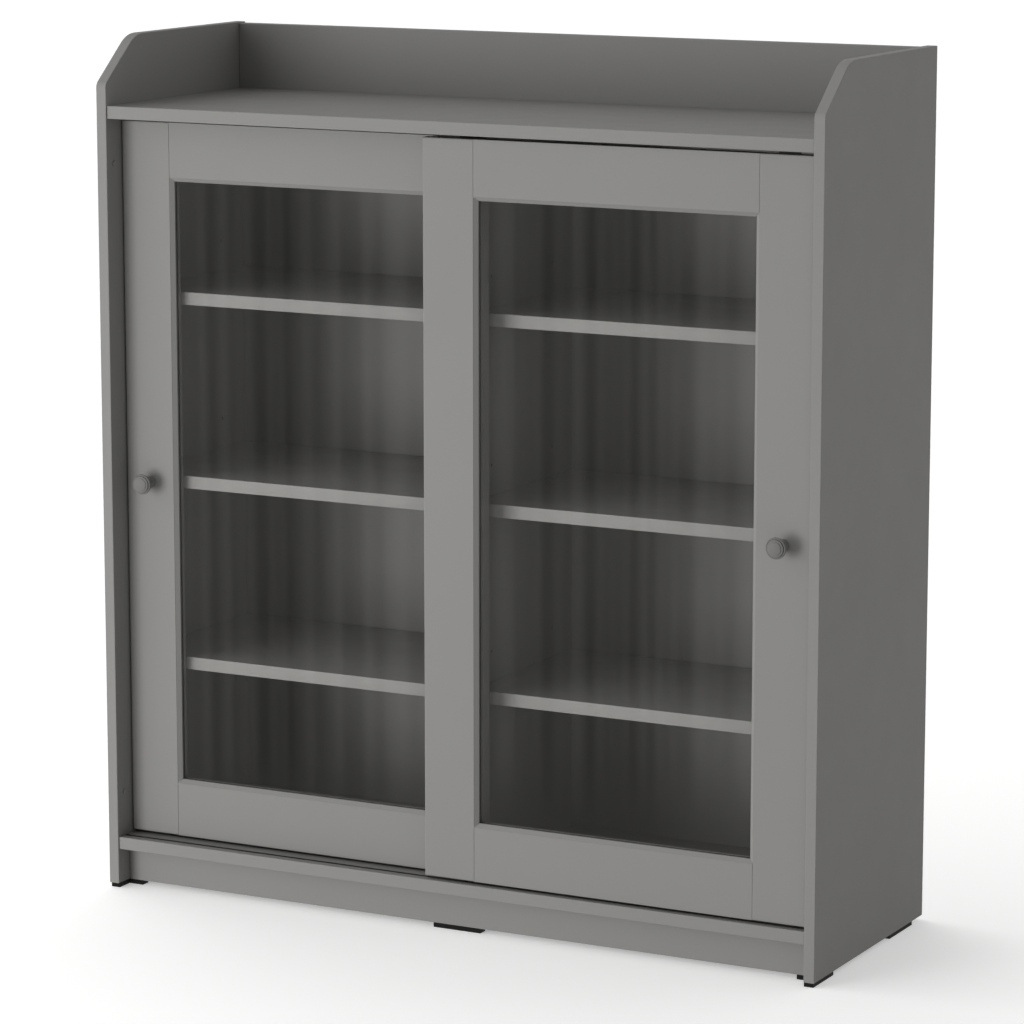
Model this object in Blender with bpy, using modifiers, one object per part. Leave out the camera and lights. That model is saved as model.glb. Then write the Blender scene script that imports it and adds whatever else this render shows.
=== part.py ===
# A display cabinet on a plinth: two framed glass doors slide past each other in
# grooved boards, in front of six adjustable shelves, under a top with raised sides and back.
# Metres, +Z up, +X to the right and +Y to the back, seen from the front.

import math

import bmesh
import bpy
from mathutils import Matrix, Vector

# Carcass
CABINET_WIDTH = 1.05
CABINET_DEPTH = 0.36
CABINET_HEIGHT = 1.16
SIDE_THICKNESS = 0.015
BOARD_THICKNESS = 0.017
RIM_HEIGHT = 0.091           # side panels above the upper face of the top panel
BOTTOM_LEVEL = 0.0712        # upper face of the bottom panel
PANEL_SETBACK = 0.002        # front edges of top and bottom panel, behind the side panels
DIVIDER_THICKNESS = 0.016
EDGE_ROUND = 0.0008          # eased edges of the boards
FIT = 0.0003                 # gap between pieces that touch
SHARP_ANGLE = math.radians(40)

# Cut front corner of the side panels
CORNER_RISE = 0.062
CORNER_RUN = 0.076
CORNER_TOP_ROUND = 0.053
CORNER_FRONT_ROUND = 0.012
CORNER_ARC_STEPS = 16

# Raised back and back panels
BACK_RAIL_THICKNESS = 0.016
BACK_RAIL_SETBACK = 0.002
BACK_RAIL_DROP = 0.0015
BACK_PANEL_THICKNESS = 0.003
BACK_GROOVE_DEPTH = 0.006
BACK_GROOVE_END_PLAY = 0.0005

# Plinth and feet
PLINTH_SETBACK = 0.0275
PLINTH_THICKNESS = 0.016
PLINTH_REAR_INSET = 0.030
FOOT_HEIGHT = 0.006
FOOT_EDGE_INSET = 0.002
FOOT_FRONT_LENGTH = 0.064
FOOT_TOE_LENGTH = 0.021      # part of a front foot that lies under the plinth
FOOT_REAR_LENGTH = 0.077
FOOT_REAR_INSET = 0.031
FOOT_CENTER_LENGTH = 0.070

# Shelves
SHELF_ROWS = ("lower", "middle", "upper")
SHELF_END_PLAY = 0.0008
SHELF_BACK_GAP = 0.0055
PIN_RADIUS = 0.0025
PIN_REACH = 0.008
PIN_INSET = 0.055            # pins from the front and back edges of the shelf
PIN_SIDES = 10
SPARE_HOLE_RISE = 0.060      # next hole above each pin
SPARE_HOLE_DEPTH = 0.009

# Doors
DOOR_OVERLAP = 0.037         # each door past the middle of the cabinet
DOOR_BOTTOM_GAP = 0.004
DOOR_TOP_GAP = 0.0043
DOOR_THICKNESS = 0.018
FRONT_DOOR_SETBACK = 0.008
DOOR_PITCH = 0.027           # from the face of one door to the face of the other
DOOR_INNER_GAP = 0.005       # rear door to the shelves and the divider
FRAME_WIDTH = 0.073
FRAME_ROUND = 0.0015
JOINT_CHAMFER = 0.0003       # eased ends of the rails, which show as a fine line
MOULDING_WIDTH = 0.0055
MOULDING_DEPTH = 0.0046
MOULDING_QUIRK = 0.0002      # fine step where the moulding starts behind the face
GLASS_THICKNESS = 0.004
GLASS_SETBACK = 0.0078
GLASS_GRIP = 0.002           # depth of the glass groove behind the joint line
GLASS_EDGE_PLAY = 0.0005

# Knobs
KNOB_RADIUS = 0.014
KNOB_REACH = 0.027
KNOB_HEAD_DEPTH = 0.0085
KNOB_DOME_RADIUS = 0.0086
KNOB_DOME_RISE = 0.0010      # middle of the front beyond the edge of the dome
KNOB_DOME_STEPS = 3
KNOB_RING_WIDTH = 0.0008     # two turned grooves round the dome, with a band between them
KNOB_RING_DEPTH = 0.0010
KNOB_BAND_WIDTH = 0.0017
KNOB_BAND_STEP = 0.0004      # the band behind the dome, and the rim behind the band
KNOB_RIM_STEPS = 8
KNOB_NECK_RADIUS = 0.0056
KNOB_NECK_STEPS = 8
KNOB_NECK_FLARE = 3          # power of the curve that widens both ends of the neck
KNOB_BASE_RADIUS = 0.0082
KNOB_BASE_DEPTH = 0.0016
KNOB_STEPS = 32
SCREW_RADIUS = 0.002
SCREW_HEAD_RADIUS = 0.004
SCREW_HEAD_DEPTH = 0.0024
SCREW_HEAD_EDGE = 0.0016     # straight side of the head, under its sloping crown
SCREW_CROWN_RADIUS = 0.0028
SCREW_GRIP = 0.010
SCREW_STEPS = 12

# Tracks, glides and guides
TRACK_SLOT = 0.0036
TRACK_WALL = 0.0012
TRACK_HEIGHT = 0.0075
GLIDE_SIDE_PLAY = 0.0004
GLIDE_LENGTH = 0.040
GLIDE_BODY_WIDTH = 0.010
GLIDE_BODY_HEIGHT = 0.012
GUIDE_LENGTH = 0.030
GUIDE_BODY_HEIGHT = 0.018
GUIDE_TIP_PLAY = 0.0015
RUNNER_NOSE_STEPS = 6        # half round at each end of a fin

# Door bumpers on the side panels
BUMPER_RADIUS = 0.004
BUMPER_THICKNESS = 0.0014
BUMPER_ROUND = 0.0004
BUMPER_END_INSET = 0.0565    # from the ends of the doors
BUMPER_STEPS = 16

# Colours as linear red, green and blue, then roughness and metallic value
FINISHES = {
    "grey_paint": ((0.245, 0.241, 0.234), 0.44, 0.0),
    "knob_paint": ((0.172, 0.169, 0.164), 0.38, 0.0),
    "clear_glass": ((0.93, 0.95, 0.94), 0.02, 0.0),
    "black_foot": ((0.010, 0.010, 0.010), 0.55, 0.0),
    "dark_track": ((0.030, 0.030, 0.029), 0.45, 0.0),
    "dark_glide": ((0.020, 0.020, 0.0195), 0.42, 0.0),
    "soft_bumper": ((0.260, 0.256, 0.246), 0.50, 0.0),
    "zinc_screw": ((0.55, 0.55, 0.54), 0.35, 1.0),
}

# Places that follow from the sizes
knob_overhang = max(0.0, KNOB_REACH - FRONT_DOOR_SETBACK)
front = (knob_overhang - CABINET_DEPTH) / 2
rear = front + CABINET_DEPTH
half_width = CABINET_WIDTH / 2
inner_half = half_width - SIDE_THICKNESS
divider_half = DIVIDER_THICKNESS / 2
top_level = CABINET_HEIGHT - RIM_HEIGHT
top_underside = top_level - BOARD_THICKNESS
bottom_underside = BOTTOM_LEVEL - BOARD_THICKNESS
panel_front = front + PANEL_SETBACK

back_rail_rear = rear - BACK_RAIL_SETBACK
back_rail_front = back_rail_rear - BACK_RAIL_THICKNESS
back_panel_middle = (back_rail_front + back_rail_rear) / 2
back_panel_front = back_panel_middle - BACK_PANEL_THICKNESS / 2
back_groove_width = BACK_PANEL_THICKNESS + 2 * FIT

track_width = TRACK_SLOT + 2 * TRACK_WALL
door_side_gap = BUMPER_THICKNESS + 2 * FIT
door_width = inner_half - door_side_gap + DOOR_OVERLAP
door_bottom = BOTTOM_LEVEL + DOOR_BOTTOM_GAP
door_top = top_underside - DOOR_TOP_GAP
door_height = door_top - door_bottom
front_door_face = front + FRONT_DOOR_SETBACK
rear_door_face = front_door_face + DOOR_PITCH
lanes = {
    "front": front_door_face + DOOR_THICKNESS / 2,
    "rear": rear_door_face + DOOR_THICKNESS / 2,
}
inner_front = rear_door_face + DOOR_THICKNESS + DOOR_INNER_GAP
shelf_rear = back_panel_front - SHELF_BACK_GAP
shelf_pitch = (top_level - BOTTOM_LEVEL) / (len(SHELF_ROWS) + 1)
shelf_tops = [BOTTOM_LEVEL + shelf_pitch * (row + 1) for row in range(len(SHELF_ROWS))]
pin_levels = [top - BOARD_THICKNESS - FIT - PIN_RADIUS for top in shelf_tops]
pin_rows = (inner_front + PIN_INSET, shelf_rear - PIN_INSET)
glass_groove = GLASS_THICKNESS + 2 * FIT


def clear_scene():
    for obj in list(bpy.data.objects):
        bpy.data.objects.remove(obj, do_unlink=True)


def new_collection(name):
    collection = bpy.data.collections.new(name)
    bpy.context.scene.collection.children.link(collection)
    return collection


def new_finish(name):
    color, roughness, metallic = FINISHES[name]
    finish = bpy.data.materials.new(name)
    finish.use_nodes = True
    shader = finish.node_tree.nodes["Principled BSDF"]
    shader.inputs["Base Color"].default_value = (*color, 1.0)
    shader.inputs["Roughness"].default_value = roughness
    shader.inputs["Metallic"].default_value = metallic
    if name == "clear_glass":
        shader.inputs["Transmission Weight"].default_value = 1.0
        shader.inputs["IOR"].default_value = 1.52
    return finish


clear_scene()
part_collection = new_collection("display_cabinet")
cutter_collection = new_collection("display_cabinet_cutters")
finishes = {name: new_finish(name) for name in FINISHES}


def add_empty(name, location):
    empty = bpy.data.objects.new(name, None)
    empty.location = location
    part_collection.objects.link(empty)
    return empty


cabinet = add_empty("cabinet_origin", (0, 0, 0))


def finish_mesh(bm, name):
    bmesh.ops.recalc_face_normals(bm, faces=bm.faces)
    mesh = bpy.data.meshes.new(name)
    bm.to_mesh(mesh)
    bm.free()
    return mesh


def add_piece(name, mesh, location, finish, parent=cabinet):
    piece = bpy.data.objects.new(name, mesh)
    piece.location = location
    piece.parent = parent
    mesh.materials.append(finishes[finish])
    part_collection.objects.link(piece)
    return piece


def use_tool(piece, purpose, bm, operation, location=(0, 0, 0), parent=cabinet):
    # Joins another shape to a piece, or cuts it out of the piece
    name = piece.name + "_" + purpose
    tool = bpy.data.objects.new(name, finish_mesh(bm, name))
    tool.location = location
    tool.parent = parent
    tool.hide_render = True
    tool.display_type = "WIRE"
    cutter_collection.objects.link(tool)
    boolean = piece.modifiers.new(purpose, "BOOLEAN")
    boolean.operation = operation
    boolean.object = tool
    boolean.solver = "EXACT"
    return tool


def round_edges(bm, edges, radius, steps=2):
    bmesh.ops.bevel(
        bm,
        geom=list(edges),
        offset=radius,
        offset_type="OFFSET",
        segments=steps,
        profile=0.5,
        affect="EDGES",
        clamp_overlap=True,
    )


def flat_edges(bm):
    # Edges that lie across the X axis, round the two broad faces of a panel or a disc
    return [edge for edge in bm.edges if abs(edge.verts[0].co.x - edge.verts[1].co.x) < FIT]


def put_box(bm, low, high):
    low, high = Vector(low), Vector(high)
    scale = Matrix.Diagonal((*(high - low), 1.0))
    place = Matrix.Translation((low + high) / 2)
    return bmesh.ops.create_cube(bm, size=1.0, matrix=place @ scale)["verts"]


def put_rod(bm, middle, axis, radius, length, sides):
    turn = Vector((0, 0, 1)).rotation_difference(Vector(axis)).to_matrix().to_4x4()
    return bmesh.ops.create_cone(
        bm,
        cap_ends=True,
        segments=sides,
        radius1=radius,
        radius2=radius,
        depth=length,
        matrix=Matrix.Translation(middle) @ turn,
    )["verts"]


def put_outline(bm, points, direction):
    # A flat outline drawn out along one direction
    face = bm.faces.new([bm.verts.new(point) for point in points])
    drawn = bmesh.ops.extrude_face_region(bm, geom=[face])["geom"]
    tips = [item for item in drawn if isinstance(item, bmesh.types.BMVert)]
    bmesh.ops.translate(bm, vec=direction, verts=tips)
    return tips


def add_board(name, low, high, finish="grey_paint", radius=EDGE_ROUND):
    # A board between two corners of the cabinet, with eased edges
    low, high = Vector(low), Vector(high)
    half = (high - low) / 2
    bm = bmesh.new()
    put_box(bm, -half, half)
    if radius:
        round_edges(bm, bm.edges, radius)
    return add_piece(name, finish_mesh(bm, name), (low + high) / 2, finish)


def corner_arc(corner, before, after, radius):
    # Points of an arc that rounds the corner between two neighbouring points
    to_before = (before - corner).normalized()
    to_after = (after - corner).normalized()
    half_angle = to_before.angle(to_after) / 2
    reach = radius / math.tan(half_angle)
    center = corner + (to_before + to_after).normalized() * radius / math.sin(half_angle)
    start = (corner + to_before * reach - center).normalized()
    end = (corner + to_after * reach - center).normalized()
    points = []
    for step in range(CORNER_ARC_STEPS + 1):
        share = step / CORNER_ARC_STEPS
        points.append(center + start.slerp(end, share) * radius)
    return points


def side_outline():
    # Outline of a side panel, with the front top corner cut off and rounded
    def at(y, z):
        return Vector((0.0, y, z))

    foot_front = at(front, FOOT_HEIGHT)
    corner_front = at(front, CABINET_HEIGHT - CORNER_RISE)
    corner_top = at(front + CORNER_RUN, CABINET_HEIGHT)
    top_rear = at(rear, CABINET_HEIGHT)
    points = [foot_front]
    points += corner_arc(corner_front, foot_front, corner_top, CORNER_FRONT_ROUND)
    points += corner_arc(corner_top, corner_front, top_rear, CORNER_TOP_ROUND)
    points += [top_rear, at(rear, FOOT_HEIGHT)]
    return points


def put_pins(bm, middle_x, reach):
    for y in pin_rows:
        for level in pin_levels:
            put_rod(bm, (middle_x, y, level), (1, 0, 0), PIN_RADIUS, reach, PIN_SIDES)


def put_spare_holes(bm, middle_x, depth):
    for y in pin_rows:
        for level in pin_levels:
            place = (middle_x, y, level + SPARE_HOLE_RISE)
            put_rod(bm, place, (1, 0, 0), PIN_RADIUS, depth, PIN_SIDES)


def add_side_panel(side, sign):
    # Side panel with its shelf pins, spare pin holes and the groove for the back panel
    name = "side_panel_" + side
    bm = bmesh.new()
    outer = sign * half_width
    inner = sign * inner_half
    points = [point + Vector((inner, 0, 0)) for point in side_outline()]
    put_outline(bm, points, (outer - inner, 0, 0))
    round_edges(bm, flat_edges(bm), EDGE_ROUND)
    panel = add_piece(name, finish_mesh(bm, name), (0, 0, 0), "grey_paint")

    pins = bmesh.new()
    pin_length = PIN_REACH + SIDE_THICKNESS / 2
    put_pins(pins, inner + sign * (SIDE_THICKNESS / 2 - pin_length / 2), pin_length)
    use_tool(panel, "pins", pins, "UNION")

    cuts = bmesh.new()
    put_spare_holes(cuts, inner, 2 * SPARE_HOLE_DEPTH)
    low = (inner - sign * BACK_GROOVE_DEPTH, back_panel_middle - back_groove_width / 2, 0.0)
    high = (
        inner + sign * BACK_GROOVE_DEPTH,
        back_panel_middle + back_groove_width / 2,
        top_underside + BACK_GROOVE_DEPTH + FIT,
    )
    put_box(cuts, low, high)
    use_tool(panel, "cuts", cuts, "DIFFERENCE")


def add_divider():
    # Upright in the middle, with pins through it that carry shelves on both sides
    low = (-divider_half, inner_front, BOTTOM_LEVEL + FIT)
    high = (divider_half, back_panel_front - FIT, top_underside - FIT)
    divider = add_board("center_divider", low, high)
    pins = bmesh.new()
    put_pins(pins, 0.0, DIVIDER_THICKNESS + 2 * PIN_REACH)
    use_tool(divider, "pins", pins, "UNION")
    cuts = bmesh.new()
    put_spare_holes(cuts, 0.0, 2 * DIVIDER_THICKNESS)
    use_tool(divider, "cuts", cuts, "DIFFERENCE")


def add_grooved_panel(name, low_z, high_z, rear_y, mouth, sign):
    # Top or bottom panel, milled along its length for the two door tracks.
    # The mouth is the face towards the doors, and sign points into the board.
    low = (-inner_half + FIT, panel_front, low_z)
    high = (inner_half - FIT, rear_y, high_z)
    panel = add_board(name, low, high)
    grooves = bmesh.new()
    groove_half = track_width / 2 + FIT
    levels = sorted((mouth - sign * TRACK_HEIGHT, mouth + sign * (TRACK_HEIGHT + FIT)))
    for lane in lanes.values():
        groove_start = (-half_width, lane - groove_half, levels[0])
        groove_end = (half_width, lane + groove_half, levels[1])
        put_box(grooves, groove_start, groove_end)
    use_tool(panel, "grooves", grooves, "DIFFERENCE")


def add_track(name, lane, mouth, sign):
    # U-shaped liner of a groove; its open side is at the mouth, and sign points into the board
    half = track_width / 2
    slot = TRACK_SLOT / 2
    floor = mouth + sign * TRACK_HEIGHT
    slot_floor = floor - sign * TRACK_WALL
    outline = [
        (-half, mouth), (-slot, mouth), (-slot, slot_floor), (slot, slot_floor),
        (slot, mouth), (half, mouth), (half, floor), (-half, floor),
    ]
    start = -inner_half + FIT
    bm = bmesh.new()
    points = [(start, lane + y, z) for y, z in outline]
    put_outline(bm, points, (-2 * start, 0, 0))
    add_piece(name, finish_mesh(bm, name), (0, 0, 0), "dark_track")


def add_tracks():
    for lane_name, lane in lanes.items():
        add_track("track_bottom_" + lane_name, lane, BOTTOM_LEVEL, -1)
        add_track("track_top_" + lane_name, lane, top_underside, 1)


def add_back():
    # Raised back rail above the top, grooved underneath for the two back panels
    low = (-inner_half + FIT, back_rail_front, top_underside)
    high = (inner_half - FIT, back_rail_rear, CABINET_HEIGHT - BACK_RAIL_DROP)
    rail = add_board("back_rail", low, high)
    cuts = bmesh.new()
    groove_half = back_groove_width / 2
    put_box(
        cuts,
        (-half_width, back_panel_middle - groove_half, top_underside - BACK_GROOVE_DEPTH),
        (half_width, back_panel_middle + groove_half, top_underside + BACK_GROOVE_DEPTH),
    )
    use_tool(rail, "groove", cuts, "DIFFERENCE")
    grip = BACK_GROOVE_DEPTH - BACK_GROOVE_END_PLAY
    for side, sign in (("left", -1), ("right", 1)):
        ends = sorted((sign * FIT / 2, sign * (inner_half + grip)))
        low = (ends[0], back_panel_front, bottom_underside)
        high = (ends[1], back_panel_front + BACK_PANEL_THICKNESS, top_underside + grip)
        add_board("back_panel_" + side, low, high, radius=0)


def add_plinth():
    front_y = front + PLINTH_SETBACK
    rear_y = rear - PLINTH_REAR_INSET
    for name, low_y in (("plinth_front", front_y), ("plinth_rear", rear_y - PLINTH_THICKNESS)):
        low = (-inner_half + FIT, low_y, FOOT_HEIGHT)
        high = (inner_half - FIT, low_y + PLINTH_THICKNESS, bottom_underside - FIT)
        add_board(name, low, high)


def add_feet():
    # Thin pads: an L at each front corner, a strip at each rear corner, one under each plinth
    height = FOOT_HEIGHT - FIT
    plinth_front_y = front + PLINTH_SETBACK
    toe_y = (plinth_front_y, plinth_front_y + PLINTH_THICKNESS - FOOT_EDGE_INSET)
    for side, sign in (("left", -1), ("right", 1)):
        outer = sign * (half_width - FOOT_EDGE_INSET)
        inner = sign * inner_half
        toe = sign * (inner_half - FOOT_TOE_LENGTH)
        start = front + FOOT_EDGE_INSET
        end = max(start + FOOT_FRONT_LENGTH, toe_y[1] + FIT)
        outline = [
            (outer, start), (inner, start), (inner, toe_y[0]), (toe, toe_y[0]),
            (toe, toe_y[1]), (inner, toe_y[1]), (inner, end), (outer, end),
        ]
        name = "foot_front_" + side
        bm = bmesh.new()
        put_outline(bm, [(x, y, 0.0) for x, y in outline], (0, 0, height))
        add_piece(name, finish_mesh(bm, name), (0, 0, 0), "black_foot")
        ends = sorted((outer, inner))
        rear_end = rear - FOOT_REAR_INSET
        low = (ends[0], rear_end - FOOT_REAR_LENGTH, 0.0)
        add_board("foot_rear_" + side, low, (ends[1], rear_end, height), "black_foot", radius=0)
    half = FOOT_CENTER_LENGTH / 2
    rear_y = rear - PLINTH_REAR_INSET - PLINTH_THICKNESS
    for place, y in (("front", plinth_front_y), ("rear", rear_y)):
        high = (half, y + PLINTH_THICKNESS - FOOT_EDGE_INSET, height)
        add_board("foot_center_" + place, (-half, y, 0.0), high, "black_foot", radius=0)


def add_shelves():
    outer = inner_half - SHELF_END_PLAY
    inner = divider_half + SHELF_END_PLAY
    for side, sign in (("left", -1), ("right", 1)):
        ends = sorted((sign * outer, sign * inner))
        for row, top in zip(SHELF_ROWS, shelf_tops):
            low = (ends[0], inner_front, top - BOARD_THICKNESS)
            add_board("shelf_" + side + "_" + row, low, (ends[1], shelf_rear, top))


def add_bumpers():
    # Small round pads where the ends of the doors meet the side panels
    levels = {"lower": door_bottom + BUMPER_END_INSET, "upper": door_top - BUMPER_END_INSET}
    for side, sign in (("left", -1), ("right", 1)):
        for lane_name, lane in lanes.items():
            for row, level in levels.items():
                name = "_".join(("bumper", side, lane_name, row))
                bm = bmesh.new()
                put_rod(bm, (0, 0, 0), (1, 0, 0), BUMPER_RADIUS, BUMPER_THICKNESS, BUMPER_STEPS)
                round_edges(bm, flat_edges(bm), BUMPER_ROUND)
                mesh = finish_mesh(bm, name)
                mesh.shade_smooth()
                mesh.set_sharp_from_angle(angle=SHARP_ANGLE)
                x = sign * (inner_half - FIT - BUMPER_THICKNESS / 2)
                add_piece(name, mesh, (x, lane, level), "soft_bumper")


def add_frame_member(name, length, opening, turn, place, door, is_rail):
    # A stile or rail lies along local Z with its outer edge at X = 0 and its face at Y = 0.
    # Its moulding faces the glass and is mitred at both ends, and a groove holds the glass.
    bm = bmesh.new()
    half = length / 2
    put_box(bm, (0, 0, -half), (FRAME_WIDTH, DOOR_THICKNESS, half))

    def lies_along(edge, index):
        return abs(edge.verts[0].co[index] - edge.verts[1].co[index]) > FIT

    def on_outer_edge(edge):
        return all(vert.co.x < FIT for vert in edge.verts) and not lies_along(edge, 1)

    def on_end(edge):
        return lies_along(edge, 0)

    if is_rail:
        ends = [edge for edge in bm.edges if on_end(edge) and edge.verts[0].co.y < FIT]
        round_edges(bm, ends, JOINT_CHAMFER, 1)
        outer = [edge for edge in bm.edges if on_outer_edge(edge) and lies_along(edge, 2)]
        round_edges(bm, outer, FRAME_ROUND)
    else:
        rims = [edge for edge in bm.edges if on_outer_edge(edge) or on_end(edge)]
        round_edges(bm, rims, FRAME_ROUND)
    member = add_piece(name, finish_mesh(bm, name), place, "grey_paint", door)
    member.rotation_euler.y = turn

    lip = bmesh.new()
    tip = FRAME_WIDTH + MOULDING_WIDTH
    root = FRAME_WIDTH - GLASS_GRIP / 2
    bend = FRAME_WIDTH - MOULDING_QUIRK / 2
    back = DOOR_THICKNESS - MOULDING_QUIRK
    outline = [
        (root, MOULDING_QUIRK), (bend, MOULDING_QUIRK), (tip, MOULDING_DEPTH),
        (tip, back), (bend, back), (root, back),
    ]
    reach = opening / 2 - FIT - MOULDING_QUIRK / 2
    put_outline(lip, [(x, y, -reach) for x, y in outline], (0, 0, 2 * reach))
    for side in (-1, 1):
        corners = [vert for vert in lip.verts if vert.co.z * side > 0 and abs(vert.co.x - bend) < FIT / 2]
        bmesh.ops.connect_verts(lip, verts=corners)
    for vert in lip.verts:
        vert.co.z -= math.copysign(max(0.0, vert.co.x - bend), vert.co.z)
    use_tool(member, "lip", lip, "UNION", place, door).rotation_euler.y = turn

    groove = bmesh.new()
    groove_end = opening / 2 + GLASS_GRIP
    put_box(
        groove,
        (FRAME_WIDTH - GLASS_GRIP, GLASS_SETBACK, -groove_end),
        (tip + GLASS_GRIP, GLASS_SETBACK + glass_groove, groove_end),
    )
    use_tool(member, "groove", groove, "DIFFERENCE", place, door).rotation_euler.y = turn
    return member


def add_runner(name, middle_x, edge, sign, body, length, tip, door):
    # Moulded block let into the end of a stile, with a round-nosed fin that runs in the track.
    # Sign points from the door towards the track.
    half_body = GLIDE_BODY_WIDTH / 2
    middle_y = DOOR_THICKNESS / 2
    levels = sorted((edge - sign * body, edge))
    low = (-length / 2, middle_y - half_body, levels[0])
    high = (length / 2, middle_y + half_body, levels[1])
    bm = bmesh.new()
    put_box(bm, low, high)
    place = (middle_x, 0, -door.location.z)
    runner = add_piece(name, finish_mesh(bm, name), place, "dark_glide", door)

    nose_radius = TRACK_SLOT / 2 - GLIDE_SIDE_PLAY
    root = edge - sign * body / 2
    points = []
    for end in (1, -1):
        for step in range(RUNNER_NOSE_STEPS + 1):
            angle = math.pi * step / RUNNER_NOSE_STEPS - math.pi / 2
            x = end * (length / 2 - nose_radius + nose_radius * math.cos(angle))
            y = middle_y + end * nose_radius * math.sin(angle)
            points.append((x, y, root))
    fin = bmesh.new()
    put_outline(fin, points, (0, 0, tip - root))
    use_tool(runner, "fin", fin, "UNION", place, door)


def put_mortise(bm, middle_x, edge, sign, body, length, door):
    # Pocket in the end of a stile for a runner
    half_x = length / 2 + FIT
    half_y = GLIDE_BODY_WIDTH / 2 + FIT
    middle_y = DOOR_THICKNESS / 2
    levels = sorted((edge - sign * (body + FIT), edge + sign * body))
    low = (middle_x - half_x, middle_y - half_y, levels[0] - door.location.z)
    high = (middle_x + half_x, middle_y + half_y, levels[1] - door.location.z)
    put_box(bm, low, high)


def turned_mesh(name, profile):
    # Half outline of a turned piece, from the top on its axis down the outer side
    bm = bmesh.new()
    verts = [bm.verts.new((radius, 0.0, height)) for radius, height in profile]
    for upper, lower in zip(verts, verts[1:]):
        bm.edges.new((upper, lower))
    mesh = bpy.data.meshes.new(name)
    bm.to_mesh(mesh)
    bm.free()
    return mesh


def add_turned(name, profile, steps, place, finish, door):
    # The axis points out of the front of the door
    piece = add_piece(name, turned_mesh(name, profile), place, finish, door)
    piece.rotation_euler.x = math.pi / 2
    screw = piece.modifiers.new("turn", "SCREW")
    screw.axis = "Z"
    screw.steps = steps
    screw.render_steps = steps
    screw.use_merge_vertices = True
    screw.merge_threshold = 0.00001
    screw.use_smooth_shade = True


def knob_profile():
    # Domed front in two ring grooves, a rounded rim, a waisted neck and a round base, with a bore
    points = []
    for step in range(KNOB_DOME_STEPS + 1):
        share = step / KNOB_DOME_STEPS
        points.append((KNOB_DOME_RADIUS * share, KNOB_REACH - KNOB_DOME_RISE * share ** 2))
    dome_edge = KNOB_REACH - KNOB_DOME_RISE
    band_level = dome_edge - KNOB_BAND_STEP
    band_inner = KNOB_DOME_RADIUS + KNOB_RING_WIDTH
    band_outer = band_inner + KNOB_BAND_WIDTH
    rim_root = band_outer + KNOB_RING_WIDTH
    rim_front = band_level - KNOB_BAND_STEP
    rim_back = KNOB_REACH - KNOB_HEAD_DEPTH
    points.append((KNOB_DOME_RADIUS, dome_edge - KNOB_RING_DEPTH))
    points.append((band_inner, dome_edge - KNOB_RING_DEPTH))
    points.append((band_inner, band_level))
    points.append((band_outer, band_level))
    points.append((band_outer, band_level - KNOB_RING_DEPTH))
    points.append((rim_root, band_level - KNOB_RING_DEPTH))
    rim_middle = (rim_front + rim_back) / 2
    rim_half = (rim_front - rim_back) / 2
    for step in range(KNOB_RIM_STEPS + 1):
        angle = math.pi * step / KNOB_RIM_STEPS
        radius = rim_root + (KNOB_RADIUS - rim_root) * math.sin(angle)
        points.append((radius, rim_middle + rim_half * math.cos(angle)))
    # The neck narrows to its middle and flares again towards the base
    neck_low = FIT + KNOB_BASE_DEPTH
    for step in range(1, KNOB_NECK_STEPS):
        share = step / KNOB_NECK_STEPS
        wide = rim_root if 2 * step < KNOB_NECK_STEPS else KNOB_BASE_RADIUS
        bend = abs(math.cos(math.pi * share)) ** KNOB_NECK_FLARE
        radius = KNOB_NECK_RADIUS + (wide - KNOB_NECK_RADIUS) * bend
        points.append((radius, rim_back + (neck_low - rim_back) * share))
    bore = SCREW_RADIUS + FIT
    bore_end = SCREW_GRIP + 2 * FIT
    points.append((KNOB_BASE_RADIUS, neck_low))
    points.append((KNOB_BASE_RADIUS, FIT))
    points.append((bore, FIT))
    points.append((bore, bore_end))
    points.append((0.0, bore_end))
    return points


def screw_profile():
    # Pan-head screw from behind; its seat is the back of the stile
    tip = DOOR_THICKNESS + SCREW_GRIP + FIT
    crown = -FIT - SCREW_HEAD_DEPTH
    return [
        (0.0, tip), (SCREW_RADIUS, tip), (SCREW_RADIUS, -FIT), (SCREW_HEAD_RADIUS, -FIT),
        (SCREW_HEAD_RADIUS, -FIT - SCREW_HEAD_EDGE), (SCREW_CROWN_RADIUS, crown), (0.0, crown),
    ]


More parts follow.
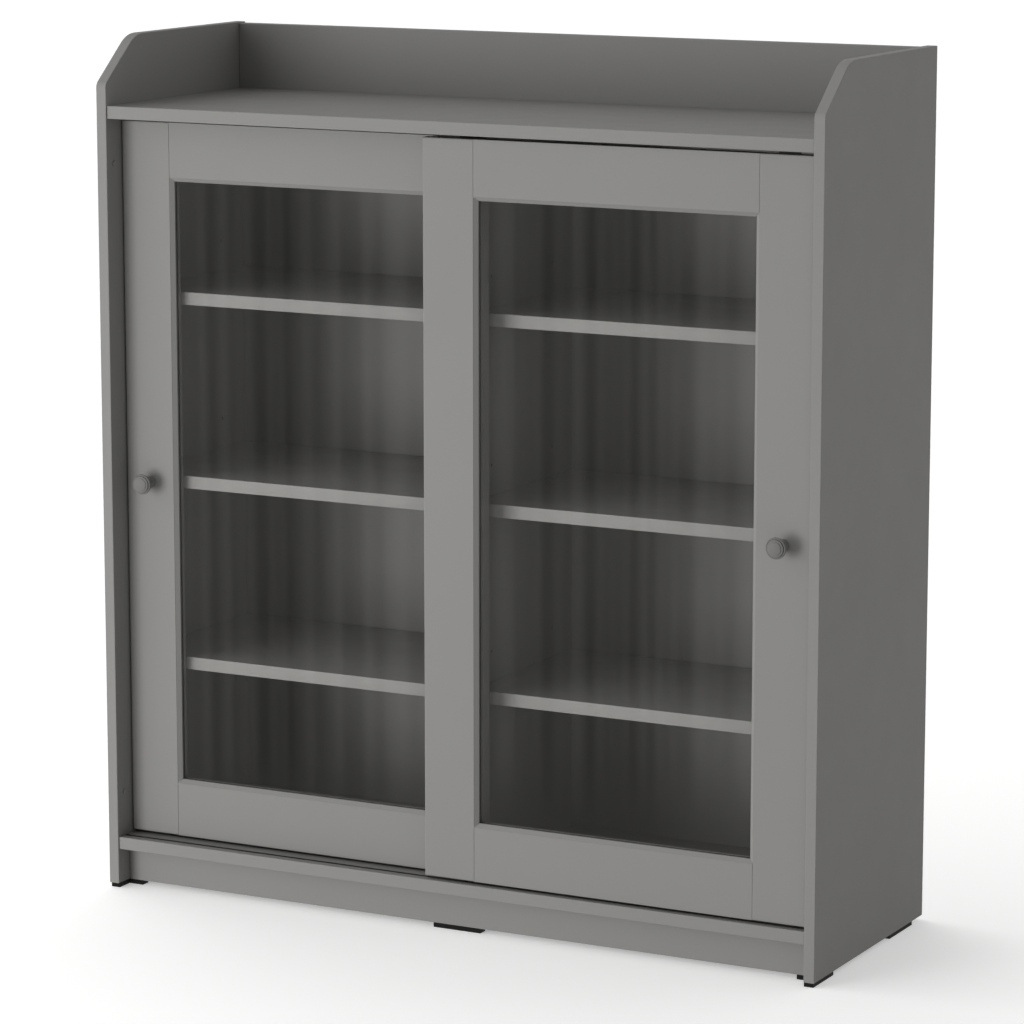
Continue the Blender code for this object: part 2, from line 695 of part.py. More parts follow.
def add_door(side, sign, face):
    # The door's empty lies at its outer lower corner, on its face; inward is towards the middle
    name = side + "_door"
    outer = sign * (inner_half - door_side_gap)
    inner = outer - sign * door_width
    door = add_empty(name + "_origin", (outer, face, door_bottom))
    door.parent = cabinet
    opening_width = door_width - 2 * FRAME_WIDTH
    opening_height = door_height - 2 * FRAME_WIDTH
    middle_x = (inner - outer) / 2
    middle_z = door_height / 2
    ends = {"left": min(0.0, inner - outer), "right": max(0.0, inner - outer)}
    turns = {"left": 0.0, "right": math.pi}
    slot_floor = BOTTOM_LEVEL - TRACK_HEIGHT + TRACK_WALL
    slot_ceiling = top_underside + TRACK_HEIGHT - TRACK_WALL
    knob_x = -sign * FRAME_WIDTH / 2
    for end, stile_x in ends.items():
        role = "outer" if end == side else "inner"
        stile_name = name + "_stile_" + role
        stile = add_frame_member(
            stile_name, door_height, opening_height, turns[end], (stile_x, 0, middle_z), door, False
        )
        inward = 1 if end == "left" else -1
        runner_x = stile_x + inward * FRAME_WIDTH / 2
        glide = (runner_x, door_bottom, -1, GLIDE_BODY_HEIGHT, GLIDE_LENGTH)
        guide = (runner_x, door_top, 1, GUIDE_BODY_HEIGHT, GUIDE_LENGTH)
        add_runner(name + "_glide_" + role, *glide, slot_floor + FIT, door)
        add_runner(name + "_guide_" + role, *guide, slot_ceiling - GUIDE_TIP_PLAY, door)
        cuts = bmesh.new()
        put_mortise(cuts, *glide, door)
        put_mortise(cuts, *guide, door)
        if role == "outer":
            hole_middle = (knob_x, DOOR_THICKNESS / 2, middle_z)
            put_rod(cuts, hole_middle, (0, 1, 0), SCREW_RADIUS + FIT, 2 * DOOR_THICKNESS, SCREW_STEPS)
        use_tool(stile, "cuts", cuts, "DIFFERENCE", parent=door)
    rail_length = opening_width - 2 * FIT
    rails = {"bottom": (0.0, -math.pi / 2), "top": (door_height, math.pi / 2)}
    for end, (z, turn) in rails.items():
        place = (middle_x, 0, z)
        add_frame_member(name + "_rail_" + end, rail_length, opening_width, turn, place, door, True)

    grip = GLASS_GRIP - GLASS_EDGE_PLAY
    half = Vector((opening_width / 2 + grip, GLASS_THICKNESS / 2, opening_height / 2 + grip))
    bm = bmesh.new()
    put_box(bm, -half, half)
    place = (middle_x, GLASS_SETBACK + glass_groove / 2, middle_z)
    add_piece(name + "_glass", finish_mesh(bm, name + "_glass"), place, "clear_glass", door)

    knob_place = (knob_x, 0, middle_z)
    add_turned(name + "_knob", knob_profile(), KNOB_STEPS, knob_place, "knob_paint", door)
    screw_place = (knob_x, DOOR_THICKNESS, middle_z)
    add_turned(name + "_knob_screw", screw_profile(), SCREW_STEPS, screw_place, "zinc_screw", door)


add_side_panel("left", -1)
add_side_panel("right", 1)
top_rear = back_rail_front - FIT
bottom_rear = back_panel_front - FIT
add_grooved_panel("top_panel", top_underside, top_level, top_rear, top_underside, 1)
add_grooved_panel("bottom_panel", bottom_underside, BOTTOM_LEVEL, bottom_rear, BOTTOM_LEVEL, -1)
add_divider()
add_back()
add_plinth()
add_feet()
add_shelves()
add_tracks()
add_bumpers()
add_door("left", -1, rear_door_face)
add_door("right", 1, front_door_face)
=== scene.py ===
import math

import bmesh
import bpy
from mathutils import Matrix, Vector


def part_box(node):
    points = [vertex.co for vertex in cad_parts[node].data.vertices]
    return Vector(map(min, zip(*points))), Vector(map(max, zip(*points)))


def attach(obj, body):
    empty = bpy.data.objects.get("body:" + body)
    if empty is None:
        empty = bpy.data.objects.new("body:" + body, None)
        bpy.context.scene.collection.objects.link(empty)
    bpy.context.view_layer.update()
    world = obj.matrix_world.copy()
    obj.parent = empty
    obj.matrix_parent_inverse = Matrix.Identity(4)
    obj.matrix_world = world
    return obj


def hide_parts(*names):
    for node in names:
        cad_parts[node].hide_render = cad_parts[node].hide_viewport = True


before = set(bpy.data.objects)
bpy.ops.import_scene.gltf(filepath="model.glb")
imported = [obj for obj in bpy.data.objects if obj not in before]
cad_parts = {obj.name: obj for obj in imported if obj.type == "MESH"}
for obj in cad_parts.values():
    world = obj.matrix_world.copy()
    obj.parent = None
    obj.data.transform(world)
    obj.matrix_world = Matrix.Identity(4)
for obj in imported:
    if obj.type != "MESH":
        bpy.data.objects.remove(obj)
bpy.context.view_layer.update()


# Small helpers for node trees, which every finish below uses
def addNode(tree, kind, sockets=None, **settings):
    node = tree.nodes.new(kind)
    for name, value in settings.items():
        setattr(node, name, value)
    for name, value in (sockets or {}).items():
        node.inputs[name].default_value = value
    return node


def newGroup(name, inputs):
    # Inputs by name with their usual values; every group gives colour, roughness and height
    group = bpy.data.node_groups.new(name, "ShaderNodeTree")
    for socketName, value in inputs.items():
        kind = "NodeSocketColor" if isinstance(value, tuple) else "NodeSocketFloat"
        socket = group.interface.new_socket(socketName, in_out="INPUT", socket_type=kind)
        socket.default_value = value
    group.interface.new_socket("Color", in_out="OUTPUT", socket_type="NodeSocketColor")
    group.interface.new_socket("Roughness", in_out="OUTPUT", socket_type="NodeSocketFloat")
    group.interface.new_socket("Height", in_out="OUTPUT", socket_type="NodeSocketFloat")
    return group, group.nodes.new("NodeGroupInput"), group.nodes.new("NodeGroupOutput")


def objectNoise(tree, scale, detail, roughness=0.5, stretch=(1, 1, 1)):
    place = addNode(tree, "ShaderNodeTexCoord")
    mapping = addNode(tree, "ShaderNodeMapping", {"Scale": stretch})
    noise = addNode(
        tree, "ShaderNodeTexNoise", {"Scale": scale, "Detail": detail, "Roughness": roughness}
    )
    tree.links.new(place.outputs["Object"], mapping.inputs["Vector"])
    tree.links.new(mapping.outputs["Vector"], noise.inputs["Vector"])
    return noise.outputs["Fac"]


def remap(tree, source, low, high, start=0.3, end=0.7):
    node = addNode(
        tree, "ShaderNodeMapRange", {"From Min": start, "From Max": end, "To Min": low, "To Max": high}
    )
    tree.links.new(source, node.inputs["Value"])
    return node.outputs["Result"]


def mathOf(tree, operation, *values):
    # Numbers are set on the node, sockets are linked to it
    node = addNode(tree, "ShaderNodeMath", operation=operation)
    for index, value in enumerate(values):
        if isinstance(value, float):
            node.inputs[index].default_value = value
        else:
            tree.links.new(value, node.inputs[index])
    return node.outputs["Value"]


def shaded(tree, color, shade):
    # Colour made lighter or darker by a factor round one
    node = addNode(tree, "ShaderNodeVectorMath", operation="SCALE")
    tree.links.new(color, node.inputs[0])
    tree.links.new(shade, node.inputs["Scale"])
    return node.outputs["Vector"]


# Satin film: broad drift in tone with fine specks, uneven sheen, a fine pebble from the roller.
# A noise here and below is its scale, its detail, then its roughness and stretch where they matter.
satinGrain = {
    "drift": (3.1, 3.0),
    "specks": (420.0, 2.0),
    "speckTone": (-0.4, 0.4),
    "patches": (14.0, 4.0, 0.6),
    "pebble": (780.0, 2.0, 0.45),
}


def buildSatinFilm():
    group, given, made = newGroup(
        "satin film",
        {"Color": (0.25, 0.25, 0.25, 1), "Tone Drift": 0.02, "Sheen": 0.4, "Sheen Drift": 0.05},
    )
    broad = remap(group, objectNoise(group, *satinGrain["drift"]), -1.0, 1.0)
    specks = remap(group, objectNoise(group, *satinGrain["specks"]), *satinGrain["speckTone"])
    drift = mathOf(group, "ADD", broad, specks)
    tone = mathOf(group, "MULTIPLY_ADD", drift, given.outputs["Tone Drift"], 1.0)
    group.links.new(shaded(group, given.outputs["Color"], tone), made.inputs["Color"])
    patches = remap(group, objectNoise(group, *satinGrain["patches"]), -1.0, 1.0)
    sheen = mathOf(
        group, "MULTIPLY_ADD", patches, given.outputs["Sheen Drift"], given.outputs["Sheen"]
    )
    group.links.new(sheen, made.inputs["Roughness"])
    group.links.new(objectNoise(group, *satinGrain["pebble"]), made.inputs["Height"])
    return group


# Moulded skin: the even pit pattern of a spark-eroded mould, with flow marks
mouldGrain = {
    "flow": (60.0, 3.0),
    "wear": (220.0, 2.0),
    "wearSheen": (-0.06, 0.06),
    "pits": (2600.0, 2.0, 0.7),
}


def buildMouldedSkin():
    group, given, made = newGroup(
        "moulded skin", {"Color": (0.05, 0.05, 0.05, 1), "Sheen": 0.5, "Flow": 0.08}
    )
    flow = remap(group, objectNoise(group, *mouldGrain["flow"]), -1.0, 1.0)
    tone = mathOf(group, "MULTIPLY_ADD", flow, given.outputs["Flow"], 1.0)
    group.links.new(shaded(group, given.outputs["Color"], tone), made.inputs["Color"])
    wear = remap(group, objectNoise(group, *mouldGrain["wear"]), *mouldGrain["wearSheen"])
    group.links.new(mathOf(group, "ADD", wear, given.outputs["Sheen"]), made.inputs["Roughness"])
    group.links.new(objectNoise(group, *mouldGrain["pits"]), made.inputs["Height"])
    return group


# Plated metal: cloudy plating, smears in the sheen and fine scratches drawn out one way
platingGrain = {
    "cloud": (160.0, 3.0),
    "cloudTone": (0.88, 1.08),
    "smear": (420.0, 3.0),
    "smearSheen": (-0.08, 0.1),
    "scratches": (900.0, 2.0, 0.6, (0.15, 1, 1)),
}


def buildPlating():
    group, given, made = newGroup("plating", {"Color": (0.6, 0.6, 0.6, 1), "Sheen": 0.3})
    cloud = remap(group, objectNoise(group, *platingGrain["cloud"]), *platingGrain["cloudTone"])
    group.links.new(shaded(group, given.outputs["Color"], cloud), made.inputs["Color"])
    smear = remap(group, objectNoise(group, *platingGrain["smear"]), *platingGrain["smearSheen"])
    group.links.new(mathOf(group, "ADD", smear, given.outputs["Sheen"]), made.inputs["Roughness"])
    group.links.new(objectNoise(group, *platingGrain["scratches"]), made.inputs["Height"])
    return group


satinFilm = buildSatinFilm()
mouldedSkin = buildMouldedSkin()
plating = buildPlating()
print("finish groups: satin film, moulded skin, plating")


def newFinish(name, group, film, relief, shader=None):
    # Film goes to the group's sockets, relief is the bump's strength and depth in metres
    material = bpy.data.materials.new(name)
    material.use_nodes = True
    tree = material.node_tree
    surface = tree.nodes["Principled BSDF"]
    skin = addNode(tree, "ShaderNodeGroup", film, node_tree=group)
    strength, depth = relief
    bump = addNode(tree, "ShaderNodeBump", {"Strength": strength, "Distance": depth})
    tree.links.new(skin.outputs["Color"], surface.inputs["Base Color"])
    tree.links.new(skin.outputs["Roughness"], surface.inputs["Roughness"])
    tree.links.new(skin.outputs["Height"], bump.inputs["Height"])
    tree.links.new(bump.outputs["Normal"], surface.inputs["Normal"])
    for socketName, value in (shader or {}).items():
        surface.inputs[socketName].default_value = value
    return material


boardFinish = {
    "name": "satin grey board",
    "group": satinFilm,
    "film": {
        "Color": (0.245, 0.2412, 0.234, 1),
        "Tone Drift": 0.012,
        "Sheen": 0.44,
        "Sheen Drift": 0.05,
    },
    "relief": (0.10, 0.0004),
    "shader": {"IOR": 1.46},
}
# Back board: the board's grey made darker, as painted shade for the light the panes would hold back
shadedBackFinish = {
    "name": "satin grey back board with painted shade",
    "group": satinFilm,
    "film": {
        "Color": (0.215, 0.2116, 0.2054, 1),
        "Tone Drift": 0.03,
        "Sheen": 0.55,
        "Sheen Drift": 0.06,
    },
    "relief": (0.14, 0.0004),
    "shader": {"IOR": 1.45},
}
knobFinish = {
    "name": "satin grey knob",
    "group": satinFilm,
    "film": {
        "Color": (0.172, 0.1694, 0.1645, 1),
        "Tone Drift": 0.02,
        "Sheen": 0.38,
        "Sheen Drift": 0.05,
    },
    "relief": (0.06, 0.0003),
    "shader": {"IOR": 1.48},
}
# Shelf edging: the board's paint made lighter, as painted light on the shelf fronts
litEdgeFinish = {
    "name": "shelf edging with painted light",
    "group": satinFilm,
    "film": {
        "Color": (0.298, 0.2934, 0.2847, 1),
        "Tone Drift": 0.02,
        "Sheen": 0.36,
        "Sheen Drift": 0.04,
    },
    "relief": (0.06, 0.0003),
    "shader": {"IOR": 1.46},
}
trackFinish = {
    "name": "dark track",
    "group": mouldedSkin,
    "film": {"Color": (0.030, 0.030, 0.029, 1), "Sheen": 0.48, "Flow": 0.08},
    "relief": (0.12, 0.0002),
}
runnerFinish = {
    "name": "black runner",
    "group": mouldedSkin,
    "film": {"Color": (0.020, 0.020, 0.0195, 1), "Sheen": 0.42, "Flow": 0.08},
    "relief": (0.12, 0.0002),
}
footFinish = {
    "name": "black foot",
    "group": mouldedSkin,
    "film": {"Color": (0.005, 0.005, 0.005, 1), "Sheen": 0.6, "Flow": 0.15},
    "relief": (0.2, 0.0002),
}
# Seal black: partly the seal's own colour, partly painted shade of the gap between bevel and glass
gapShadeSealFinish = {
    "name": "black seal with painted gap shade",
    "group": mouldedSkin,
    "film": {"Color": (0.003, 0.003, 0.003, 1), "Sheen": 0.7, "Flow": 0.1},
    "relief": (0.1, 0.0002),
    "shader": {"Specular IOR Level": 0.15},
}
bumperFinish = {
    "name": "soft grey bumper",
    "group": mouldedSkin,
    "film": {"Color": (0.250, 0.2462, 0.2388, 1), "Sheen": 0.5, "Flow": 0.06},
    "relief": (0.1, 0.0002),
}
screwFinish = {
    "name": "zinc plated screw",
    "group": plating,
    "film": {"Color": (0.58, 0.585, 0.59, 1), "Sheen": 0.32},
    "relief": (0.08, 0.0002),
    "shader": {"Metallic": 1.0},
}
pinFinish = {
    "name": "steel shelf pin",
    "group": plating,
    "film": {"Color": (0.50, 0.49, 0.47, 1), "Sheen": 0.30},
    "relief": (0.08, 0.0002),
    "shader": {"Metallic": 1.0},
}

finishes = {
    "painted_board": newFinish(**boardFinish),
    "back_board": newFinish(**shadedBackFinish),
    "knob": newFinish(**knobFinish),
    "edge": newFinish(**litEdgeFinish),
    "track": newFinish(**trackFinish),
    "glide": newFinish(**runnerFinish),
    "foot": newFinish(**footFinish),
    "seal": newFinish(**gapShadeSealFinish),
    "bumper": newFinish(**bumperFinish),
    "screw": newFinish(**screwFinish),
    "pin": newFinish(**pinFinish),
}

# Clear float glass: a faint drift in tint and wiping marks in the sheen
paneGlass = {
    "tint": (0.90, 0.90, 0.895),
    "drift": (2.3, 2.0),
    "driftTone": (0.985, 1.0),
    "wiping": (9.0, 4.0, 0.6, (1, 1, 0.3)),
    "wipingSheen": (0.0, 0.012),
    "ior": 1.5,
}


def newGlass():
    material = bpy.data.materials.new("clear pane")
    material.use_nodes = True
    tree = material.node_tree
    surface = tree.nodes["Principled BSDF"]
    surface.inputs["Transmission Weight"].default_value = 1.0
    surface.inputs["IOR"].default_value = paneGlass["ior"]
    drift = remap(tree, objectNoise(tree, *paneGlass["drift"]), *paneGlass["driftTone"])
    tint = addNode(tree, "ShaderNodeVectorMath", {0: paneGlass["tint"]}, operation="SCALE")
    tree.links.new(drift, tint.inputs["Scale"])
    tree.links.new(tint.outputs["Vector"], surface.inputs["Base Color"])
    wiping = remap(tree, objectNoise(tree, *paneGlass["wiping"]), *paneGlass["wipingSheen"])
    tree.links.new(wiping, surface.inputs["Roughness"])
    return material


finishes["glass"] = newGlass()
print("finishes:", ", ".join(sorted(finishes)))

# The first word found in a node's name gives its slot
slotOfWord = {
    "glass": "glass",
    "knob_screw": "screw",
    "knob": "knob",
    "glide": "glide",
    "guide": "glide",
    "track": "track",
    "foot": "foot",
    "bumper": "bumper",
    "back_panel": "back_board",
}


def slotOf(nodeName):
    for word, slotName in slotOfWord.items():
        if word in nodeName:
            return slotName
    return "painted_board"


for nodeName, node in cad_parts.items():
    node.data.materials.clear()
    node.data.materials.append(finishes[slotOf(nodeName)])
    if slotOf(nodeName) == "glass":  # lamp light and scattered light pass the panes
        node.visible_shadow = False
        node.visible_diffuse = False
print("CAD nodes finished:", len(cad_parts))

doors = ("left_door", "right_door")
shelves = [(side, row) for side in ("left", "right") for row in ("lower", "middle", "upper")]
mergeDistance = 0.00001


def finishPiece(bm, name, slotName, bodyName, finish=None):
    # Clean mesh to a piece that rides on its body
    bmesh.ops.remove_doubles(bm, verts=bm.verts, dist=mergeDistance)
    bmesh.ops.recalc_face_normals(bm, faces=bm.faces)
    for face in bm.faces:
        face.smooth = True
    mesh = bpy.data.meshes.new(name)
    bm.to_mesh(mesh)
    bm.free()
    mesh.materials.append(finishes[finish or slotName])
    piece = bpy.data.objects.new(name, mesh)
    bpy.context.scene.collection.objects.link(piece)
    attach(piece, bodyName)
    return piece


def frameOf(door):
    # Low and high corner of a door's frame, from its two stiles
    low, high = (corner.copy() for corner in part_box(door + "_stile_outer"))
    innerLow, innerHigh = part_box(door + "_stile_inner")
    low.x, high.x = min(low.x, innerLow.x), max(high.x, innerHigh.x)
    return low, high


# Turned knobs: domed front, two ring steps, rounded rim, waisted neck, round base, screw bore.
# Profile points are (radius, distance from the door) in millimetres, then the rounding there.
knobShape = {
    "profile": [
        (0.0, 27.0, 0), (3.0, 26.9, 0.8), (6.0, 26.5, 0.8), (8.5, 26.0, 0.25),
        (8.65, 25.1, 0.15), (11.1, 24.8, 0.2), (11.2, 22.6, 0.1), (11.7, 22.7, 0.1),
        (12.0, 23.3, 0.2), (13.1, 23.3, 0.6), (14.0, 21.9, 0.9), (13.7, 20.2, 1.0),
        (12.2, 18.6, 1.0), (9.4, 17.2, 1.5), (6.3, 13.6, 2.2), (5.6, 9.6, 2.0), (5.9, 5.6, 1.8),
        (7.4, 2.6, 0.9), (8.2, 2.0, 0.35), (8.2, 0.3, 0.2), (2.3, 0.3, 0), (2.3, 10.6, 0),
        (0.0, 10.6, 0),
    ],
    "perMetre": 1000,
    "offDoor": 0.0003,  # gap between the CAD knob and the door
    "turns": 96,
    "roundSteps": 4,
}


def addKnob(door):
    low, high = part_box(door + "_knob")
    axis = (low + high) / 2
    perMetre = knobShape["perMetre"]
    bm = bmesh.new()
    points = []
    for radius, away, rounding in knobShape["profile"]:
        points.append((bm.verts.new((radius / perMetre, -away / perMetre, 0)), rounding / perMetre))
    for (first, _), (second, _) in zip(points, points[1:]):
        bm.edges.new((first, second))
    for point, rounding in points:
        if rounding:
            bmesh.ops.bevel(
                bm, geom=[point], offset=rounding, offset_type="OFFSET", affect="VERTICES",
                segments=knobShape["roundSteps"], profile=0.5, material=-1, clamp_overlap=True,
            )
    bmesh.ops.spin(
        bm, geom=bm.verts[:] + bm.edges[:], cent=(0, 0, 0), axis=(0, 1, 0),
        angle=math.tau, steps=knobShape["turns"], use_merge=True,
    )
    doorFace = high.y + knobShape["offDoor"]
    bmesh.ops.translate(bm, vec=(axis.x, doorFace, axis.z), verts=bm.verts)
    knob = finishPiece(bm, door + "_turned_knob", "knob", door)
    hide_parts(door + "_knob")


for door in doors:
    addKnob(door)
print("turned knobs added")

# Filler in the four mitres of each door's moulding, a hair below the bevels beside it
mitreFiller = {
    "frame": 0.073,
    "bevelWidth": 0.0055,
    "bevelDepth": 0.0046,
    "back": 0.0077,
    "sunk": 0.00012,
    "thickness": 0.0009,
    "cutTolerance": 0.000001,
}


def addFiller(door):
    low, high = frameOf(door)
    wide, deep = mitreFiller["bevelWidth"], mitreFiller["back"]
    outOfDoor = Vector((0, -1, 0))
    bm = bmesh.new()
    for x, inX in ((low.x, 1), (high.x, -1)):
        for z, inZ in ((low.z, 1), (high.z, -1)):
            inward = Vector((inX, 0, inZ))
            corner = Vector((x, low.y, z)) + inward * mitreFiller["frame"]
            along = inward.normalized()
            turn = Matrix((along, -outOfDoor, along.cross(-outOfDoor))).transposed().to_4x4()
            middle = corner + inward * wide / 2 - outOfDoor * deep / 2
            size = Matrix.Diagonal((wide * math.sqrt(2), deep, mitreFiller["thickness"], 1))
            place = Matrix.Translation(middle) @ turn @ size
            sheet = bmesh.ops.create_cube(bm, size=1.0, matrix=place)
            faces = {face for vert in sheet["verts"] for face in vert.link_faces}
            edges = {edge for face in faces for edge in face.edges}
            cut = bmesh.ops.bisect_plane(
                bm, geom=[*sheet["verts"], *edges, *faces], dist=mitreFiller["cutTolerance"],
                plane_co=corner - outOfDoor * mitreFiller["sunk"],
                plane_no=inward * mitreFiller["bevelDepth"] / 2 + outOfDoor * wide,
                clear_outer=True,
            )
            rim = [item for item in cut["geom_cut"] if isinstance(item, bmesh.types.BMEdge)]
            bmesh.ops.holes_fill(bm, edges=rim)
    finishPiece(bm, door + "_mitre_filler", "painted_board", door)


for door in doors:
    addFiller(door)
print("mitre filler added")

# Dark seal round each pane, between the bevels and the front of the glass; its black is partly a seal,
# partly painted shade of the gap there
glazingShadeSeal = {"inFrame": 0.07855, "width": 0.0005, "thickness": 0.0004, "offGlass": 0.00002}


def addShadeSeal(door):
    low, high = frameOf(door)
    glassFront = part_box(door + "_glass")[0].y
    inset = 2 * glazingShadeSeal["inFrame"]
    size = Matrix.Diagonal((high.x - low.x - inset, high.z - low.z - inset, 1, 1))
    middle = Vector(
        ((low.x + high.x) / 2, glassFront - glazingShadeSeal["offGlass"], (low.z + high.z) / 2)
    )
    upright = Matrix.Translation(middle) @ Matrix.Rotation(math.pi / 2, 4, "X") @ size
    bm = bmesh.new()
    bmesh.ops.create_grid(bm, x_segments=1, y_segments=1, size=0.5, matrix=upright)
    pane = bm.faces[:]
    framed = bmesh.ops.inset_region(
        bm, faces=pane, thickness=glazingShadeSeal["width"], use_boundary=True
    )
    bmesh.ops.delete(bm, geom=pane, context="FACES")
    drawn = bmesh.ops.extrude_face_region(bm, geom=framed["faces"], use_keep_orig=True)
    front = [item for item in drawn["geom"] if isinstance(item, bmesh.types.BMVert)]
    bmesh.ops.translate(bm, vec=(0, -glazingShadeSeal["thickness"], 0), verts=front)
    finishPiece(bm, door + "_glazing_shade_seal", "track", door, "seal")


for door in doors:
    addShadeSeal(door)
print("glazing seals added")

# Steel shelf pins, sleeved over the plain pins of the panels, with rounded ends
shelfPin = {
    "radius": 0.00262,
    "length": 0.0082,
    "rounding": 0.0007,
    "roundSteps": 4,
    "sides": 28,
    "fromEdge": 0.055,
    "belowShelf": 0.0028,  # axis under the shelf's lower face
    "besideShelf": 0.0008,  # panel's face from the end of the shelf
    "flat": 0.0001,  # an edge that spans less along the pin lies on a rim
}


def addPins(side, row):
    low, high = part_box("shelf_" + side + "_" + row)
    level = low.z - shelfPin["belowShelf"]
    gap = shelfPin["besideShelf"]
    bm = bmesh.new()
    for wall, inward in ((low.x - gap, 1), (high.x + gap, -1)):
        for y in (low.y + shelfPin["fromEdge"], high.y - shelfPin["fromEdge"]):
            middle = Vector((wall + inward * shelfPin["length"] / 2, y, level))
            bmesh.ops.create_cone(
                bm, cap_ends=True, segments=shelfPin["sides"], radius1=shelfPin["radius"],
                radius2=shelfPin["radius"], depth=shelfPin["length"],
                matrix=Matrix.Translation(middle) @ Matrix.Rotation(math.pi / 2, 4, "Y"),
            )
    rims = []
    for edge in bm.edges:
        first, second = edge.verts
        if abs(first.co.x - second.co.x) < shelfPin["flat"]:
            rims.append(edge)
    bmesh.ops.bevel(
        bm, geom=rims, offset=shelfPin["rounding"], offset_type="OFFSET", affect="EDGES",
        segments=shelfPin["roundSteps"], profile=0.5, material=-1, clamp_overlap=True,
    )
    finishPiece(bm, "shelf_pins_" + side + "_" + row, "screw", "cabinet", "pin")


for side, row in shelves:
    addPins(side, row)
print("shelf pins added")

# Edging on the front edge of each shelf, with rounded front edges; its lighter colour is painted light
# on the shelf fronts
shelfEdging = {"thickness": 0.0006, "rounding": 0.0004, "roundSteps": 3}


def addEdging(side, row):
    low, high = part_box("shelf_" + side + "_" + row)
    size = Vector((high.x - low.x, shelfEdging["thickness"], high.z - low.z))
    middle = Vector(((low.x + high.x) / 2, low.y - size.y / 2, (low.z + high.z) / 2))
    place = Matrix.Translation(middle) @ Matrix.Diagonal((*size, 1.0))
    bm = bmesh.new()
    bmesh.ops.create_cube(bm, size=1.0, matrix=place)
    fronts = [edge for edge in bm.edges if all(vert.co.y < middle.y for vert in edge.verts)]
    bmesh.ops.bevel(
        bm, geom=fronts, offset=shelfEdging["rounding"], offset_type="OFFSET", affect="EDGES",
        segments=shelfEdging["roundSteps"], profile=0.5, material=-1, clamp_overlap=True,
    )
    finishPiece(bm, "shelf_lit_edging_" + side + "_" + row, "painted_board", "cabinet", "edge")


for side, row in shelves:
    addEdging(side, row)
print("shelf edging added")

# Studio: white sweep, a soft lamp at the front left, and a room with light from each side
studio = {
    "lampPower": 86.0,
    "lampSize": (1.75, 2.1),
    "lampBearing": 26.0,
    "lampDistance": 3.8,
    "lampHeight": 0.25,
    "roomLeft": 2.17,
    "roomRight": 0.39,
    "roomFront": 0.02,
    "roomBack": 0.8,
    "roomTop": 0.14,
    "roomBelow": 0.16,
    "backdrop": 0.98,
    "folds": ((40.0, 0.21, 0.31), (190.0, 0.0, 0.18)),  # scale, low and high light
    "foldDetail": 1.0,
    "hem": (-0.25, -0.232),  # slope where the mirrored floor ends and the folds begin
    "floorMirrored": 0.28,
    "reflectedTint": (1.0, 0.985, 0.95, 1),
    "floorRadius": 30.0,
    "floorSides": 64,
    "floorRoughness": 0.9,
    "floorSeen": (0.88, 0.88, 0.875, 1),
    "floorBounce": (0.5, 0.5, 0.5, 1),
    "floorGlow": (0.35, 0.14),  # seen, and as light
}


def addLamp():
    light = bpy.data.lights.new("soft lamp", "AREA")
    light.shape = "RECTANGLE"
    light.size, light.size_y = studio["lampSize"]
    light.energy = studio["lampPower"]
    lamp = bpy.data.objects.new("soft lamp", light)
    bearing = math.radians(studio["lampBearing"])
    away = studio["lampDistance"]
    lamp.location = (-away * math.sin(bearing), -away * math.cos(bearing), studio["lampHeight"])
    lamp.rotation_euler = (math.pi / 2, 0, -bearing)
    lamp.visible_camera = False
    lamp.visible_glossy = False
    lamp.visible_transmission = False
    bpy.context.scene.collection.objects.link(lamp)


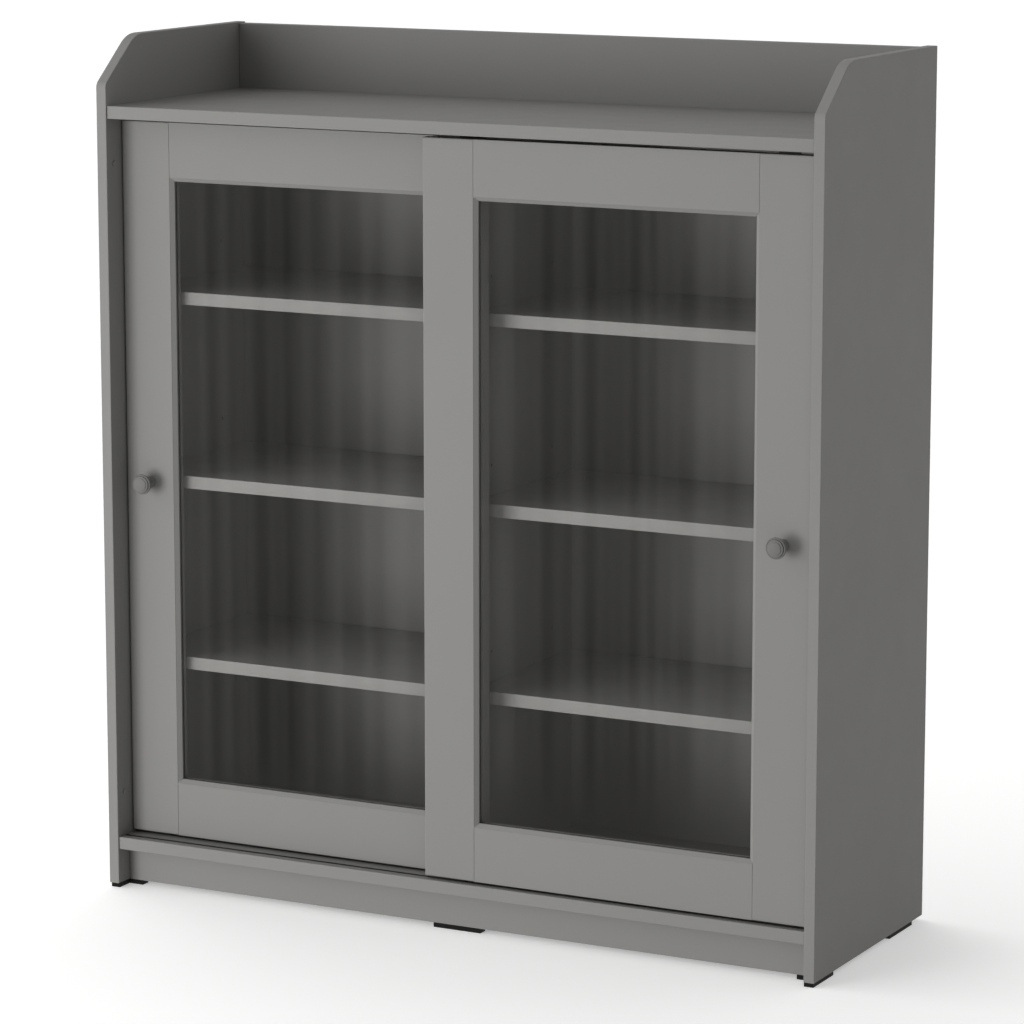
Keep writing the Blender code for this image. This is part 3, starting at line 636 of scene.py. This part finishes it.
def addRoom():
    # Camera rays see the white sweep, mirror rays a dim room with upright folds over a plain
    # floor, and rays that have been scattered see the room that lights the cabinet
    world = bpy.data.worlds.new("studio")
    bpy.context.scene.world = world
    world.use_nodes = True
    tree = world.node_tree
    tree.nodes.clear()
    rays = addNode(tree, "ShaderNodeLightPath")
    place = addNode(tree, "ShaderNodeTexCoord")
    split = addNode(tree, "ShaderNodeSeparateXYZ")
    tree.links.new(place.outputs["Generated"], split.inputs["Vector"])
    white = {"Color": (1, 1, 1, 1)}
    sweep = addNode(tree, "ShaderNodeBackground", {**white, "Strength": studio["backdrop"]})

    room = addNode(tree, "ShaderNodeBackground", white)
    level = 0.0
    for axis, sign, part in (
        ("X", -1.0, "roomLeft"), ("X", 1.0, "roomRight"), ("Y", -1.0, "roomFront"),
        ("Y", 1.0, "roomBack"), ("Z", 1.0, "roomTop"),
    ):
        towards = mathOf(tree, "MULTIPLY", split.outputs[axis], sign * studio[part])
        level = mathOf(tree, "ADD", mathOf(tree, "MAXIMUM", towards, 0.0), level)
    isLow = mathOf(tree, "LESS_THAN", split.outputs["Z"], 0.0)
    ground = addNode(tree, "ShaderNodeMix", {"B": studio["roomBelow"]})
    tree.links.new(isLow, ground.inputs["Factor"])
    tree.links.new(level, ground.inputs["A"])
    tree.links.new(ground.outputs["Result"], room.inputs["Strength"])

    mirrored = addNode(tree, "ShaderNodeBackground", {"Color": studio["reflectedTint"]})
    bearing = mathOf(tree, "ARCTAN2", split.outputs["X"], split.outputs["Y"])
    glint = 0.0
    for scale, low, high in studio["folds"]:
        folds = addNode(
            tree, "ShaderNodeTexNoise", {"Scale": scale, "Detail": studio["foldDetail"]},
            noise_dimensions="1D",
        )
        tree.links.new(bearing, folds.inputs["W"])
        glint = mathOf(tree, "ADD", remap(tree, folds.outputs["Fac"], low, high), glint)
    lifted = remap(tree, split.outputs["Z"], 0.0, 1.0, *studio["hem"])
    mirrorLight = addNode(tree, "ShaderNodeMix", {"A": studio["floorMirrored"]})
    tree.links.new(lifted, mirrorLight.inputs["Factor"])
    tree.links.new(glint, mirrorLight.inputs["B"])
    tree.links.new(mirrorLight.outputs["Result"], mirrored.inputs["Strength"])

    inner = addNode(tree, "ShaderNodeMixShader")
    outer = addNode(tree, "ShaderNodeMixShader")
    scattered = mathOf(tree, "GREATER_THAN", rays.outputs["Diffuse Depth"], 0.5)
    tree.links.new(scattered, inner.inputs["Fac"])
    tree.links.new(mirrored.outputs["Background"], inner.inputs[1])
    tree.links.new(room.outputs["Background"], inner.inputs[2])
    tree.links.new(rays.outputs["Is Camera Ray"], outer.inputs["Fac"])
    tree.links.new(inner.outputs["Shader"], outer.inputs[1])
    tree.links.new(sweep.outputs["Background"], outer.inputs[2])
    result = addNode(tree, "ShaderNodeOutputWorld")
    tree.links.new(outer.outputs["Shader"], result.inputs["Surface"])


def addFloor():
    # A pale floor that looks lighter than the light it gives back
    bm = bmesh.new()
    bmesh.ops.create_circle(
        bm, cap_ends=True, radius=studio["floorRadius"], segments=studio["floorSides"]
    )
    mesh = bpy.data.meshes.new("studio floor")
    bm.to_mesh(mesh)
    bm.free()
    floor = bpy.data.objects.new("studio_floor", mesh)
    bpy.context.scene.collection.objects.link(floor)
    material = bpy.data.materials.new("pale studio floor")
    material.use_nodes = True
    tree = material.node_tree
    surface = tree.nodes["Principled BSDF"]
    surface.inputs["Roughness"].default_value = studio["floorRoughness"]
    surface.inputs["Specular IOR Level"].default_value = 0.0
    rays = addNode(tree, "ShaderNodeLightPath")
    tone = addNode(tree, "ShaderNodeMix", data_type="RGBA")
    tone.inputs[6].default_value = studio["floorBounce"]  # the colour sockets go by number
    tone.inputs[7].default_value = studio["floorSeen"]
    tree.links.new(rays.outputs["Is Camera Ray"], tone.inputs["Factor"])
    tree.links.new(tone.outputs[2], surface.inputs["Base Color"])
    surface.inputs["Emission Color"].default_value = (1, 1, 1, 1)
    seenGlow, lightGlow = studio["floorGlow"]
    glow = addNode(tree, "ShaderNodeMix", {"A": lightGlow, "B": seenGlow})
    tree.links.new(rays.outputs["Is Camera Ray"], glow.inputs["Factor"])
    tree.links.new(glow.outputs["Result"], surface.inputs["Emission Strength"])
    mesh.materials.append(material)
    floor.visible_shadow = False
    floor.visible_glossy = False
    floor.visible_transmission = False


addLamp()
addRoom()
addFloor()
print("studio set")

# Camera at the front right, a little above, with a long lens
view = {
    "place": (2.5724, -4.9275, 1.5501),
    "tiltDown": 10.319,
    "turnLeft": 27.497,
    "lens": 149.688,
    "sensor": 36.0,
    "reach": 200.0,
}


def addCamera():
    data = bpy.data.cameras.new("front right view")
    data.lens = view["lens"]
    data.sensor_width = view["sensor"]
    data.clip_end = view["reach"]
    camera = bpy.data.objects.new("front right view", data)
    camera.location = view["place"]
    camera.rotation_euler = (
        math.radians(90 - view["tiltDown"]), 0, math.radians(view["turnLeft"])
    )
    bpy.context.scene.collection.objects.link(camera)
    bpy.context.scene.camera = camera


addCamera()
bpy.context.scene.view_settings.view_transform = "Standard"
print("camera set")
